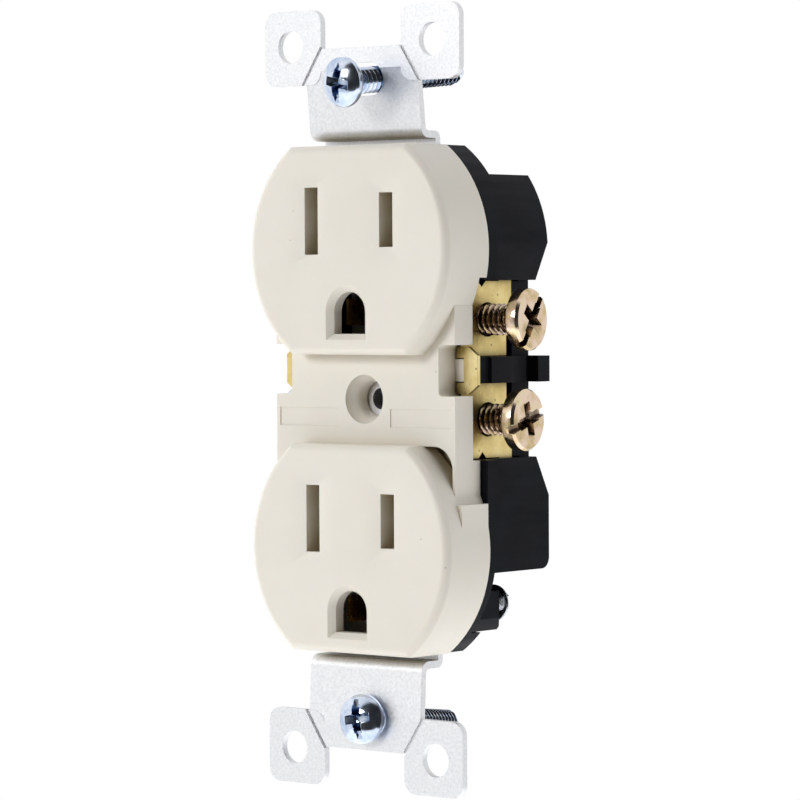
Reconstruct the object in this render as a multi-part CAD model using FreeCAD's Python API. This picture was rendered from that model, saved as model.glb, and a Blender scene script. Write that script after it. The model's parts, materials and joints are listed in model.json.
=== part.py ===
import FreeCAD, Part
import math
import os

# Duplex wall outlet, in millimetres.
# Frame: +X to the right as seen from the front, +Y to the rear (into the wall), +Z up.
# The origin is the middle of the outlet, in the front plane of the mounting ears.

Vec = FreeCAD.Vector

# Yoke (one stamped steel strap with a pair of ears at each end)
strap_t = 0.95
strap_half_h = 51.03
ear_half_w = 16.5
ear_inner_x = 6.8
ear_root_z = 41.2
ear_corner_r = 1.8
ear_hole_x = 12.05
ear_hole_z = 46.34
ear_hole_r = 2.18
ear_score_depth = 0.35
ear_score_w = 0.5
neck_half_w = 9.45
neck_top_z = 45.85
score_top_x = 6.7
score_low_x = 9.97
top_neck_lean = 6.3
low_neck_lean = 3.0
neck_bend_z = 43.0
box_screw_z = 41.67
box_slot_w = 7.4
box_slot_h = 4.3
joggle_z = 34.32
joggle_front_r = 1.0
joggle_rear_r = 0.55
band_front_y = 3.83
band_rear_y = band_front_y + strap_t
band_end_z = 32.0
band_wide_z = 29.3
band_slim_half_w = 3.6
band_slim_from_z = 17.5
band_slim_low_z = (-22.0, -8.0)
band_mid_half_w = 5.0
ground_hole_r = 3.5
faceplate_tap_r = 1.4
faceplate_collar_r = 2.5
faceplate_collar_rear_y = 6.6
strap_opening_half_w = 9.8
inside_rear_y = band_front_y - 0.13
pad_half_w = 8.6
pad_z = (30.5, 32.6)

# Front cover
face_z = 19.45
face_r = 16.8
face_flat = 13.6
face_front_y = -3.23
face_rim_round = 1.1
cover_rear_y = 5.55
cover_wall = 1.8
cover_front_t = 2.3
bridge_half_w = 15.2
bridge_front_y = 0.4
bridge_t = 2.0
side_rear_y = 4.1
side_inner_x = 13.4
low_side_z = -13.35
shoulder_half_w = 16.5
shoulder_low_z = -17.0
panel_inner_x = 4.4
panel_outer_x = 14.6
panel_top_z = -1.2
panel_low_z = -3.6
panel_depth = 0.12
pocket_x = 14.75
pocket_top_z = -5.95
pocket_corner_r = 3.0
pocket_depth = 3.0

# Blade and ground openings, on each face
slot_x = 6.35
slot_rise = 3.83
slot_w = 2.26
hot_slot_h = 7.03
neutral_slot_h = 8.78
funnel_w = 7.8
funnel_h = 12.1
funnel_depth = 0.6
ground_drop = 8.07
ground_r = 2.63
ground_low = 10.9
ground_bevel = 0.8
guide_wall = 1.1

# Faceplate screw hole
centre_hole_r = 2.25
centre_sink_r = 3.2
centre_sink_depth = 1.7
centre_boss_r = 4.2

# Back body
body_front_y = 5.6
body_rear_y = 18.5
body_half_w = 16.4
body_flat = 13.6
flange_rear_y = 10.2
thin_flange_rear_y = 7.3
low_flange_rear_y = 9.3
low_flange_top_z = -30.45
block_outer = 25.4
low_block_outer = 26.23
block_slope_start = 16.6
block_end_half_w = 14.3
block_strip_y = 7.8
block_corner_r = 1.5
core_half_w = 12.25
core_rear_half_w = 13.1
plate_rear_y = 14.8
plate_step = 1.1
terminal_bay = 11.62
fin_half_h = 1.7
fin_x = 16.3
fin_front_y = 4.4
fin_rear_y = 18.9
ground_house_half_w = 4.5
ground_house_low_z = -31.2
ground_chamber_half_w = 3.25
chamber_inner_x = 3.8
chamber_outer_x = 9.2
chamber_rear_y = 17.2

# Contacts and bus strips: everything here is mirrored about the bus middle height
bus_mid_z = slot_rise
bus_t = 0.8
bus_x = 12.35
plate_near = 1.77
plate_far = 11.52
plate_front_y = 4.2
tab_front_y = 3.7
tab_t = 0.55
tab_x = 16.3
tab_half_h = 3.05
tab_slot_half_h = 1.6
tab_slot_x = 14.05
contact_t = 0.5
contact_half_w = 1.7
contact_pinch = 0.62
contact_half_h = 3.6
contact_front_y = 7.0
contact_rear_y = 16.4
ground_base_rear_y = band_rear_y + 0.5
ground_leaf_t = 0.45
ground_leaf_x = 2.65
ground_leaf_front_y = 0.3
ground_leaf_half_h = 1.7
rivet_rise = 5.3
rivet_r = 0.9
rivet_head_r = 1.5
rivet_head_t = 0.6
wire_hole_x = 11.35
wire_hole_z = 18.4
wire_hole_r = 1.1

# Terminal screws, 8-32
terminal_rise = 6.5
terminal_y = 9.8
terminal_head_r = 4.08
terminal_head_t = 1.9
terminal_head_bevel = 0.35
terminal_shank_r = 2.08
terminal_shank_len = 8.0
terminal_gap = 4.85
low_terminal_gap = 4.35
terminal_lean = 8.0
low_terminal_lean = 6.5
terminal_pocket_r = 3.3
neutral_gap = 4.6
fit = 0.15
ground_screw_y = 10.8
ground_screw_z = -27.2
ground_tab_x = -13.15
ground_screw_gap = 2.6

# Mounting screws, 6-32, hanging askew in their slots: each has its head's underside at a depth Y,
# crosses the yoke's middle plane at X and Z, and its tip leans towards +X and +Z by two angles
mount_head_r = 3.27
mount_head_t = 2.0
mount_ball_r = 5.14
mount_shank_r = 1.75
mount_shank_len = 22.2
mount_tip = 1.0
top_screw_cross = (1.78, 41.56)
top_screw_y = -4.84
top_screw_lean = (2.5, 5.7)
low_screw_cross = (0.5, -41.84)
low_screw_y = -0.89
low_screw_lean = (-7.4, -6.9)

# Assembly screws, from the rear into the cover
assembly_x = 11.8
assembly_z = -26.8
assembly_seat_y = 12.5
assembly_top_z = 30.6
assembly_shank_r = 1.45
assembly_head_r = 2.4
assembly_head_t = 1.3
assembly_boss_r = 2.5
boss_inner_x = 8.9
boss_outer_x = 13.6
boss_z = (-30.3, -25.1)
boss_chamfer = 0.95
boss_chamfer_depth = 1.1
assembly_tip_y = 0.9


def box(x0, x1, y0, y1, z0, z1):
    return Part.makeBox(x1 - x0, y1 - y0, z1 - z0, Vec(x0, y0, z0))


def rod(start, axis, radius, length):
    return Part.makeCylinder(radius, length, Vec(*start), Vec(*axis))


def mirror_x(shape):
    return shape.mirror(Vec(0, 0, 0), Vec(1, 0, 0))


def mirror_bus(shape):
    return shape.mirror(Vec(0, 0, bus_mid_z), Vec(0, 0, 1))


def both_sides(shape):
    return shape.fuse(mirror_x(shape))


def prism(points, shift):
    wire = Part.makePolygon([Vec(*p) for p in points + points[:1]])
    return Part.Face(wire).extrude(Vec(*shift))


def prism_xz(points, y0, y1):
    return prism([(x, y0, z) for x, z in points], (0, y1 - y0, 0))


def prism_xy(points, z0, z1):
    return prism([(x, y, z0) for x, y in points], (0, 0, z1 - z0))


def prism_yz(points, x0, x1):
    return prism([(x0, y, z) for y, z in points], (x1 - x0, 0, 0))


def ribbon(path, thickness):
    """The outline of a sheet of the given thickness that follows a path, with mitred bends."""
    left, right = [], []
    for i, (a, b) in enumerate(path):
        before = path[i - 1] if i else None
        after = path[i + 1] if i + 1 < len(path) else None
        normals = []
        for p, q in ((before, (a, b)), ((a, b), after)):
            if p and q:
                length = math.hypot(q[0] - p[0], q[1] - p[1])
                normals.append((-(q[1] - p[1]) / length, (q[0] - p[0]) / length))
        nx = sum(n[0] for n in normals) / len(normals)
        ny = sum(n[1] for n in normals) / len(normals)
        reach = thickness / 2 / (nx * nx + ny * ny)
        left.append((a + nx * reach, b + ny * reach))
        right.append((a - nx * reach, b - ny * reach))
    return left + right[::-1]


def face_disc(centre_z, radius, flat, y0, y1):
    """The outline of one outlet face: a circle with its top and bottom cut flat."""
    disc = rod((0, y0, centre_z), (0, 1, 0), radius, y1 - y0)
    return disc.common(box(-radius - 1, radius + 1, y0, y1, centre_z - flat, centre_z + flat))


def edges_at_y(shape, y):
    return [e for e in shape.Edges if all(abs(v.Point.y - y) < 1e-4 for v in e.Vertexes)]


def round_box(x0, x1, y0, y1, z0, z1, radius):
    """A box whose four edges along Y are rounded."""
    block = box(x0, x1, y0, y1, z0, z1)
    along = [e for e in block.Edges if abs(e.tangentAt(e.FirstParameter).y) > 0.9]
    return block.makeFillet(radius, along)


def obround(x, z, width, height, y0, y1):
    """A slot along X with round ends."""
    half = (width - height) / 2
    slot = box(x - half, x + half, y0, y1, z - height / 2, z + height / 2)
    for side in (-1, 1):
        slot = slot.fuse(rod((x + side * half, y0, z), (0, 1, 0), height / 2, y1 - y0))
    return slot


def on_axis(shape, point, axis):
    """Moves a shape that was built along +Z so that its base is at a point and it runs along an axis."""
    placed = shape.copy()
    placed.Placement = FreeCAD.Placement(Vec(*point), FreeCAD.Rotation(Vec(0, 0, 1), Vec(*axis)))
    return placed


def sides_of_bus(shape):
    return shape.fuse(mirror_bus(shape))


# Yoke


def bent_sheet(corners, radii, thickness, half_w):
    """A sheet along straight runs in the YZ plane that round bends join, from -half_w to half_w in X."""
    runs = [Vec(0, b[0] - a[0], b[1] - a[1]).normalize() for a, b in zip(corners, corners[1:])]
    points = [Vec(-half_w, *c) for c in corners]
    outlines = []
    for shift in (thickness / 2, -thickness / 2):
        edges = []
        start = points[0] + across(runs[0]) * shift
        for corner, before, after, radius in zip(points[1:-1], runs, runs[1:], radii):
            turn = before.getAngle(after)
            side = 1 if across(before).dot(after) > 0 else -1
            reach = radius * math.tan(turn / 2)
            arc_start = corner - before * reach + across(before) * shift
            arc_end = corner + after * reach + across(after) * shift
            centre = corner - before * reach + across(before) * side * radius
            middle = (corner - centre).normalize() * (radius - side * shift) + centre
            edges.append(Part.LineSegment(start, arc_start).toShape())
            edges.append(Part.Arc(arc_start, middle, arc_end).toShape())
            start = arc_end
        end = points[-1] + across(runs[-1]) * shift
        edges.append(Part.LineSegment(start, end).toShape())
        outlines.append(edges)
    left, right = outlines
    caps = [
        Part.LineSegment(side_a, side_b).toShape()
        for side_a, side_b in (
            (left[0].Vertexes[0].Point, right[0].Vertexes[0].Point),
            (left[-1].Vertexes[-1].Point, right[-1].Vertexes[-1].Point),
        )
    ]
    wire = Part.Wire(Part.__sortEdges__(left + right + caps))
    return Part.Face(wire).extrude(Vec(2 * half_w, 0, 0))


def across(run):
    """The direction a quarter turn from a run in the YZ plane."""
    return Vec(0, -run.z, run.y)


def strap_neck(lean):
    """The neck, which leans back a little below the ears and then steps back to the band."""
    half_t = strap_t / 2
    fall = neck_bend_z - joggle_z
    corners = [
        (half_t, neck_top_z), (half_t, neck_bend_z),
        (half_t + fall * math.tan(math.radians(lean)), joggle_z),
        (band_front_y + half_t, joggle_z), (band_front_y + half_t, band_wide_z),
    ]
    return bent_sheet(corners, [6.0, joggle_front_r, joggle_rear_r], strap_t, neck_half_w)


def strap_end(lean):
    """The upper end of the yoke: neck, two ears, box-screw slot and break-off score lines."""
    ear = round_box(ear_inner_x, ear_half_w, 0, strap_t, ear_root_z, strap_half_h, ear_corner_r)
    root = prism_xz(
        [
            (0, neck_top_z), (ear_inner_x + ear_corner_r, neck_top_z), (score_low_x, ear_root_z + 1),
            (score_low_x, ear_root_z), (neck_half_w, neck_bend_z - 3.5), (neck_half_w, neck_bend_z), (0, neck_bend_z),
        ],
        0,
        strap_t,
    )
    root = root.common(box(0, 20, 0, strap_t, ear_root_z, neck_top_z))
    end = strap_neck(lean).fuse([ear, mirror_x(ear), root, mirror_x(root)])
    for side in (-1, 1):
        end = end.cut(rod((side * ear_hole_x, -1, ear_hole_z), (0, 1, 0), ear_hole_r, 3))
    path = [(score_top_x, neck_top_z + 0.2), (score_low_x, ear_root_z - 0.1)]
    score = prism_xz(ribbon(path, ear_score_w), -1, ear_score_depth)
    end = end.cut([score, mirror_x(score)])
    return end.cut(obround(0, box_screw_z, box_slot_w, box_slot_h, -1, 3))


def strap_band():
    """The part of the yoke inside the outlet, slim beside the blade contacts."""
    def piece(half_w, z0, z1):
        return box(-half_w, half_w, band_front_y, band_rear_y, z0, z1)

    slim_low, slim_high = band_slim_low_z
    lengths = [
        (neck_half_w, band_wide_z, band_end_z), (band_slim_half_w, band_slim_from_z, band_wide_z),
        (band_mid_half_w, slim_high, band_slim_from_z), (band_slim_half_w, slim_low, slim_high),
        (band_mid_half_w, -band_wide_z, slim_low), (neck_half_w, -band_end_z, -band_wide_z),
    ]
    pieces = [piece(*length) for length in lengths]
    collar = rod((0, band_front_y, 0), (0, 1, 0), faceplate_collar_r, faceplate_collar_rear_y - band_front_y)
    return pieces[0].fuse(pieces[1:] + [collar])


def band_holes():
    """Holes for the grounding pins, the rivets, the top assembly screw and the faceplate screw."""
    holes = [(0, assembly_top_z, assembly_shank_r + 0.25), (0, 0, faceplate_tap_r)]
    for z in (face_z - ground_drop, -face_z - ground_drop):
        holes += [(0, z, ground_hole_r), (0, z + rivet_rise, rivet_r)]
    return [rod((x, band_front_y - 1, z), (0, 1, 0), radius, 5) for x, z, radius in holes]


def ground_tab():
    """The arm that leaves the yoke at the lower left and turns back to carry the green screw."""
    arm = box(ground_tab_x, -band_mid_half_w, band_front_y, band_rear_y, -30.0, -24.4)
    leaf = box(ground_tab_x, ground_tab_x + strap_t, band_front_y, plate_rear_y, -30.2, -24.2)
    tab = arm.fuse(leaf)
    hole = rod((-20, ground_screw_y, ground_screw_z), (1, 0, 0), terminal_shank_r + fit, 12)
    return tab.cut(hole)


def mounting_strap():
    low_end = strap_end(low_neck_lean).mirror(Vec(0, 0, 0), Vec(0, 0, 1))
    strap = strap_end(top_neck_lean).fuse([low_end, strap_band(), ground_tab()])
    return strap.cut(band_holes())


# Front cover


def blade_height(side):
    return hot_slot_h if side > 0 else neutral_slot_h


def funnel(x, z, height):
    """The shallow four-sided lead-in around a blade slot."""
    wires = []
    sizes = ((face_front_y - 0.001, funnel_w, funnel_h), (face_front_y + funnel_depth, slot_w, height))
    for y, w, h in sizes:
        corners = [(x - w / 2, y, z - h / 2), (x + w / 2, y, z - h / 2)]
        corners += [(x + w / 2, y, z + h / 2), (x - w / 2, y, z + h / 2)]
        wires.append(Part.makePolygon([Vec(*c) for c in corners + corners[:1]]))
    return Part.makeLoft(wires, True, True)


def ground_outline(centre_z, y, grow):
    """The grounding hole's outline at a depth: flat at the bottom and round at the top."""
    z = centre_z - ground_drop
    low_z = centre_z - ground_low - grow
    radius = ground_r + grow
    corners = [Vec(-radius, y, z), Vec(0, y, z + radius), Vec(radius, y, z), Vec(radius, y, low_z), Vec(-radius, y, low_z)]
    arc = Part.Arc(corners[0], corners[1], corners[2]).toShape()
    sides = [(corners[2], corners[3]), (corners[3], corners[4]), (corners[4], corners[0])]
    return Part.Wire([arc] + [Part.LineSegment(a, b).toShape() for a, b in sides])


def ground_opening(centre_z, y0, y1, grow):
    return Part.Face(ground_outline(centre_z, y0, grow)).extrude(Vec(0, y1 - y0, 0))


def ground_lead_in(centre_z):
    """The bevel round the mouth of the grounding hole."""
    mouth = ground_outline(centre_z, face_front_y - 0.001, ground_bevel)
    throat = ground_outline(centre_z, face_front_y + ground_bevel, 0)
    return Part.makeLoft([mouth, throat], True, True)


def face_openings(centre_z):
    cuts = [ground_opening(centre_z, face_front_y - 1, 7, 0), ground_lead_in(centre_z)]
    z = centre_z + slot_rise
    for side in (-1, 1):
        x = side * slot_x
        h = blade_height(side)
        cuts.append(box(x - slot_w / 2, x + slot_w / 2, face_front_y - 1, 7, z - h / 2, z + h / 2))
        cuts.append(funnel(x, z, h))
    return cuts


def face_guides(centre_z):
    """The walls inside the cover that lead a plug's blades to the contacts."""
    y0 = face_front_y + 1.5
    guides = []
    z = centre_z + slot_rise
    for side in (-1, 1):
        x = side * slot_x
        w = slot_w / 2 + guide_wall
        h = blade_height(side) / 2 + guide_wall
        guides.append(box(x - w, x + w, y0, side_rear_y, z - h, z + h))
    return guides


def cover_skin():
    """The outside of the cover, before it is hollowed."""
    faces = []
    for z in (face_z, -face_z):
        block = face_disc(z, face_r, face_flat, face_front_y, cover_rear_y)
        faces.append(block.makeFillet(face_rim_round, edges_at_y(block, face_front_y)))
    bridge = box(-bridge_half_w, bridge_half_w, bridge_front_y, side_rear_y, -12.9, 12.2)
    low_sides = box(-bridge_half_w, bridge_half_w, bridge_front_y, cover_rear_y, low_side_z - 1, -7.8)
    shoulder = box(-shoulder_half_w, shoulder_half_w, 0.1, cover_rear_y, shoulder_low_z, low_side_z)
    return faces[0].fuse([faces[1], bridge, low_sides, shoulder])


def cover_hollow():
    inner_front_y = face_front_y + cover_front_t
    hollow = [
        face_disc(z, face_r - cover_wall, face_flat - cover_wall, inner_front_y, cover_rear_y + 1)
        for z in (face_z, -face_z)
    ]
    y = bridge_front_y + bridge_t
    hollow.append(box(-side_inner_x, side_inner_x, y, cover_rear_y + 1, -13.2, 12.0))
    return hollow


def cover_rear_cuts():
    """Room at the rear edge for the yoke, the terminal plates and the ground tab."""
    upper_bay = box(11.9, 20, side_rear_y, cover_rear_y + 1, -7.75, 15.75)
    cuts = [upper_bay, mirror_x(upper_bay)]
    strap_room = box(-strap_opening_half_w, strap_opening_half_w, inside_rear_y, cover_rear_y + 1, 30, 34)
    cuts += [strap_room, strap_room.mirror(Vec(0, 0, 0), Vec(0, 0, 1))]
    cuts.append(box(-20, -4, inside_rear_y, cover_rear_y + 1, -30.5, -23.9))
    return cuts


def side_notch():
    """The opening in the cover's side that gives a grip on the break-off tab."""
    half = tab_half_h + 0.25
    return round_box(12.5, 22, -1, 8, bus_mid_z - half, bus_mid_z + half, 0.6)


def notch_walls():
    half = tab_half_h + 1.4
    walls = box(11.3, side_inner_x + 0.5, bridge_front_y, side_rear_y, bus_mid_z - half, bus_mid_z + half)
    tongue = box(12.0, tab_slot_x - 0.05, side_rear_y - 0.35, side_rear_y + 0.15, bus_mid_z - 1.45, bus_mid_z + 1.45)
    return walls, tongue


def corner_pocket():
    """The sunk corner at the lower right, between the round face and the cover's side."""
    block = box(8, pocket_x, bridge_front_y - 1, bridge_front_y + pocket_depth, -17, pocket_top_z)
    corner = [
        e for e in block.Edges
        if all(abs(v.X - pocket_x) < 1e-6 and abs(v.Z - pocket_top_z) < 1e-6 for v in e.Vertexes)
    ]
    block = block.makeFillet(pocket_corner_r, corner)
    return block.cut(face_disc(-face_z, face_r, face_flat, -5, 8))


def pocket_floor():
    return box(9, bridge_half_w, bridge_front_y + pocket_depth, cover_rear_y - 1.2, -13.35, pocket_top_z)


def centre_sink():
    sink_top = rod((0, -1, 0), (0, 1, 0), centre_sink_r, 1 + bridge_front_y + 0.25)
    cone = Part.makeCone(
        centre_sink_r, centre_hole_r, centre_sink_depth, Vec(0, bridge_front_y + 0.25, 0), Vec(0, 1, 0)
    )
    return [sink_top, cone, rod((0, 0, 0), (0, 1, 0), centre_hole_r, 8)]


def assembly_boss(x, z, y1):
    return rod((x, face_front_y + 1.5, z), (0, 1, 0), assembly_boss_r, y1 - face_front_y - 1.5)


def front_cover():
    skin = cover_skin()
    cover = skin.cut(cover_hollow())
    walls, tongue = notch_walls()
    inside = face_guides(face_z) + face_guides(-face_z)
    inside.append(rod((0, bridge_front_y, 0), (0, 1, 0), centre_boss_r, inside_rear_y - bridge_front_y))
    inside.append(assembly_boss(assembly_x, assembly_z, cover_rear_y))
    inside.append(assembly_boss(0, assembly_top_z, inside_rear_y))
    inside += [walls, mirror_x(walls), pocket_floor()]
    cover = cover.fuse([piece.common(skin) for piece in inside])
    cuts = cover_rear_cuts() + face_openings(face_z) + face_openings(-face_z) + centre_sink()
    notch = side_notch()
    cuts += [notch, mirror_x(notch), corner_pocket()]
    for x, z in ((assembly_x, assembly_z), (0, assembly_top_z)):
        cuts.append(rod((x, assembly_tip_y - 0.3, z), (0, 1, 0), assembly_shank_r + 0.05, 9))
    panel = box(panel_inner_x, panel_outer_x, -1, bridge_front_y + panel_depth, panel_low_z, panel_top_z)
    cuts += [panel, mirror_x(panel)]
    cover = cover.cut(cuts)
    return cover.fuse([tongue, mirror_x(tongue)])


# Back body


def body_block(outer, circle_z):
    """One of the two deep blocks behind the blade slots, above the bus middle."""
    z0 = bus_mid_z + terminal_bay
    z1 = bus_mid_z + outer
    block = box(-body_half_w, body_half_w, body_front_y, body_rear_y, z0, z1)
    if circle_z:
        block = block.common(face_disc(circle_z, body_half_w, body_flat, body_front_y, body_rear_y))
    slope_z = bus_mid_z + block_slope_start
    wedge = prism_xz(
        [(block_end_half_w, z0 - 0.1), (body_half_w + 1, z0 - 0.1), (body_half_w + 1, slope_z), (body_half_w, slope_z)],
        block_strip_y,
        body_rear_y + 1,
    )
    return block.cut([wedge, mirror_x(wedge)])


def round_low_block(block):
    """Rounds the low block's bottom rear edge."""
    low_z = bus_mid_z - low_block_outer
    edges = [
        e for e in block.Edges
        if all(abs(v.Y - body_rear_y) < 1e-4 and abs(v.Z - low_z) < 1e-4 for v in e.Vertexes)
    ]
    return block.makeFillet(block_corner_r, edges)


def terminal_fin():
    """The rib between the two terminals, which keeps their wires apart."""
    z0, z1 = bus_mid_z - fin_half_h, bus_mid_z + fin_half_h
    points = [
        (core_half_w - 1, body_front_y + 0.4), (bus_x + bus_t, body_front_y + 0.4),
        (bus_x + bus_t, fin_front_y), (fin_x - 0.5, fin_front_y), (fin_x - 0.5, 6.6),
        (fin_x, 6.65), (fin_x, 10.25), (fin_x - 0.35, 11.6), (fin_x - 0.35, 13.2),
        (fin_x - 0.1, 14.0), (fin_x - 1.7, 14.1), (fin_x - 1.7, 16.4),
        (fin_x, 16.45), (fin_x, fin_rear_y), (core_half_w - 1, fin_rear_y),
    ]
    fin = prism_xy(points, z0, z1)
    rear = box(core_half_w - 2, core_half_w - 1, body_rear_y, fin_rear_y, z0, z1)
    return fin.cut(rear)


def flange(centre_z, z0, z1, y1):
    lobe = face_disc(centre_z, body_half_w, body_flat, body_front_y, y1)
    return lobe.common(box(-20, 20, body_front_y, y1, z0, z1))


def screw_boss():
    """The boss at the lower right that carries the rear assembly screw, with two sloping rear edges."""
    low_z, top_z = boss_z
    seat, slope_y = assembly_seat_y, assembly_seat_y - boss_chamfer_depth
    post = box(boss_inner_x, boss_outer_x, body_front_y, seat, low_z, top_z)
    outer = boss_outer_x - boss_chamfer
    upper = top_z - boss_chamfer
    side = prism_xy([(outer, seat + 0.01), (boss_outer_x + 1, seat + 0.01), (boss_outer_x + 1, slope_y), (boss_outer_x, slope_y)], low_z - 1, top_z + 1)
    top = prism_yz([(seat + 0.01, upper), (seat + 0.01, top_z + 1), (slope_y, top_z + 1), (slope_y, top_z)], boss_inner_x - 1, boss_outer_x + 1)
    return post.cut([side, top]).common(face_disc(-face_z, body_half_w, body_flat, body_front_y, seat))


def body_outside():
    core = box(-core_half_w, core_half_w, body_front_y, body_rear_y, -7.9, 15.6)
    rear = box(-core_rear_half_w, core_rear_half_w, plate_rear_y + 0.1, body_rear_y, -7.9, 15.6)
    upper = body_block(block_outer, face_z)
    lower = round_low_block(mirror_bus(body_block(low_block_outer, None)))
    parts = [rear, upper, lower, both_sides(terminal_fin())]
    low_z = bus_mid_z - low_block_outer
    parts.append(flange(face_z, 22, 34, flange_rear_y))
    parts.append(flange(-face_z, -34, low_z + 2, thin_flange_rear_y))
    parts.append(flange(-face_z, -34, low_flange_top_z, low_flange_rear_y))
    house = box(-ground_house_half_w, ground_house_half_w, body_front_y, body_rear_y, ground_house_low_z, low_z + 2)
    pad = box(-pad_half_w, pad_half_w, band_rear_y + 0.02, body_front_y + 1, *pad_z)
    parts += [house, screw_boss(), pad, pad.mirror(Vec(0, 0, 0), Vec(0, 0, 1))]
    return core.fuse(parts)


def blade_chamber():
    """The pockets for one bus strip's upper contact, arm and push-in wire clip."""
    z = face_z + slot_rise
    contact = box(chamber_inner_x, chamber_outer_x, 5, chamber_rear_y, z - 4.2, z + 4.4)
    arm = box(chamber_outer_x - 0.1, bus_x + bus_t + 0.15, 5, plate_rear_y + 1.6, 15.3, 21.7)
    wire_hole = rod((wire_hole_x, body_rear_y - 3, wire_hole_z), (0, 1, 0), wire_hole_r, 4)
    return contact.fuse([arm, wire_hole])


def terminal_pockets():
    """Blind holes behind the terminal plates that the screws' ends move in."""
    z = bus_mid_z + terminal_rise
    hole = rod((4.6, terminal_y, z), (1, 0, 0), terminal_pocket_r, 9)
    return sides_of_bus(hole)


def body_cavities():
    chamber = sides_of_bus(blade_chamber())
    pockets = terminal_pockets()
    cuts = [chamber, mirror_x(chamber), pockets, mirror_x(pockets)]
    for centre_z in (face_z, -face_z):
        z = centre_z - ground_drop
        half_w = ground_chamber_half_w
        cuts.append(box(-half_w, half_w, 5, body_rear_y - 1.0, z - 3.1, z + 3.4))
        cuts.append(box(-half_w, half_w, 5, ground_base_rear_y + 0.1, z - 3.1, z + 7.4))
        cuts.append(rod((0, 5, z + rivet_rise), (0, 1, 0), rivet_head_r + 0.3, 2.6))
    cuts.append(rod((0, 5, 0), (0, 1, 0), faceplate_collar_r + 0.3, 9))
    return cuts


def body_clearances():
    """Room for the assembly screws and for the ground tab with its screw."""
    cuts = []
    for x, z in ((assembly_x, assembly_z), (0, assembly_top_z)):
        cuts.append(rod((x, band_front_y, z), (0, 1, 0), assembly_shank_r + 0.2, 10))
    head_room = assembly_head_r + 0.3
    cuts.append(rod((0, flange_rear_y, assembly_top_z), (0, 1, 0), head_room, 9))
    cuts.append(box(-20, -11.5, 5, 20, -31.2, -23.2))
    return cuts


def back_body():
    return body_outside().cut(body_cavities() + body_clearances())


# Bus strips, contacts and clips


def bus_half():
    """One terminal plate above the bus middle, with the arm that reaches its blade contact."""
    x0, x1 = bus_x, bus_x + bus_t
    z0, z1 = bus_mid_z + plate_near, bus_mid_z + plate_far
    plate = prism_yz(
        [
            (plate_front_y, z0), (plate_rear_y - plate_step, z0), (plate_rear_y - plate_step, z0 + 2.7),
            (plate_rear_y, z0 + 2.9), (plate_rear_y, z1), (9.4, z1), (8.6, z1 - 0.8), (7.8, z1), (plate_front_y, z1),
        ],
        x0,
        x1,
    )
    middle_x = (x0 + x1) / 2
    neck = box(middle_x, x1, tab_front_y, plate_front_y, z0, bus_mid_z + tab_half_h)
    leaf_x = slot_x + contact_half_w + contact_t / 2 + bus_t / 2
    path = [(middle_x, z1 - 1.0), (middle_x, z1 + 5.6), (leaf_x, z1 + 5.6), (leaf_x, z1 + 11.0)]
    arm = prism_xz(ribbon(path, bus_t), 12.2, plate_rear_y)
    bus = plate.fuse([neck, arm])
    hole = rod((5, terminal_y, bus_mid_z + terminal_rise), (1, 0, 0), terminal_shank_r + fit, 12)
    return bus.cut(hole)


def break_off_tab():
    """The tab that joins the two plates and is snapped off for split circuits."""
    x0 = bus_x + bus_t / 2
    half = tab_half_h
    tab = prism_xz(
        [
            (x0, bus_mid_z - half), (tab_x - 1.5, bus_mid_z - half), (tab_x, bus_mid_z - half + 1.15),
            (tab_x, bus_mid_z + half - 1.15), (tab_x - 1.5, bus_mid_z + half), (x0, bus_mid_z + half),
        ],
        tab_front_y,
        tab_front_y + tab_t,
    )
    slot = box(x0 - 1, tab_slot_x, 3, 5, bus_mid_z - tab_slot_half_h, bus_mid_z + tab_slot_half_h)
    return tab.cut(slot)


def bus_strip():
    return sides_of_bus(bus_half()).fuse(break_off_tab())


def blade_contact(side, centre_z):
    """A U of spring brass that pinches one blade between its two leaves."""
    z = centre_z + slot_rise
    w = contact_half_w
    rest = [(w, contact_rear_y), (w, 11.5), (contact_pinch + contact_t / 2, 9.3), (1.75, contact_front_y)]
    path = [(-x, y) for x, y in rest[::-1]] + rest
    outline = [(side * slot_x + x, y) for x, y in ribbon(path, contact_t)]
    return prism_xy(outline, z - contact_half_h, z + contact_half_h)


def ground_contact(centre_z):
    """The grounding clip: a base riveted to the yoke, with a leaf each side of the pin."""
    z = centre_z - ground_drop
    y0, y1 = band_rear_y, ground_base_rear_y
    base = box(-3.15, 3.15, y0, y1, z - 2.9, z + 7.0)
    base = base.cut(rod((0, 4, z), (0, 1, 0), 2.75, 3))
    base = base.cut(rod((0, 4, z + rivet_rise), (0, 1, 0), rivet_r, 3))
    path = [(ground_leaf_x, ground_leaf_front_y), (ground_leaf_x, 8.0), (2.25, 11.0), (2.6, 14.0)]
    leaf = prism_xy(ribbon(path, ground_leaf_t), z - ground_leaf_half_h, z + ground_leaf_half_h)
    return base.fuse(both_sides(leaf))


def rivet(z):
    """A rivet that holds a grounding clip on the yoke."""
    shank = rod((0, band_front_y, z), (0, 1, 0), rivet_r, ground_base_rear_y - band_front_y)
    front = rod((0, band_front_y - rivet_head_t, z), (0, 1, 0), rivet_head_r, rivet_head_t)
    rear = rod((0, ground_base_rear_y, z), (0, 1, 0), rivet_head_r, rivet_head_t)
    return shank.fuse([front, rear])


def wire_clip():
    """The spring that grips a wire pushed in from the rear, for the upper hot terminal."""
    leg_x = chamber_outer_x + 0.4
    path = [(leg_x, 16.3), (leg_x, 8.9), (leg_x + 0.9, 8.0), (bus_x - 0.75, 12.6)]
    return prism_xy(ribbon(path, 0.35), wire_hole_z - 1.4, wire_hole_z + 1.4)


# Screws


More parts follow.
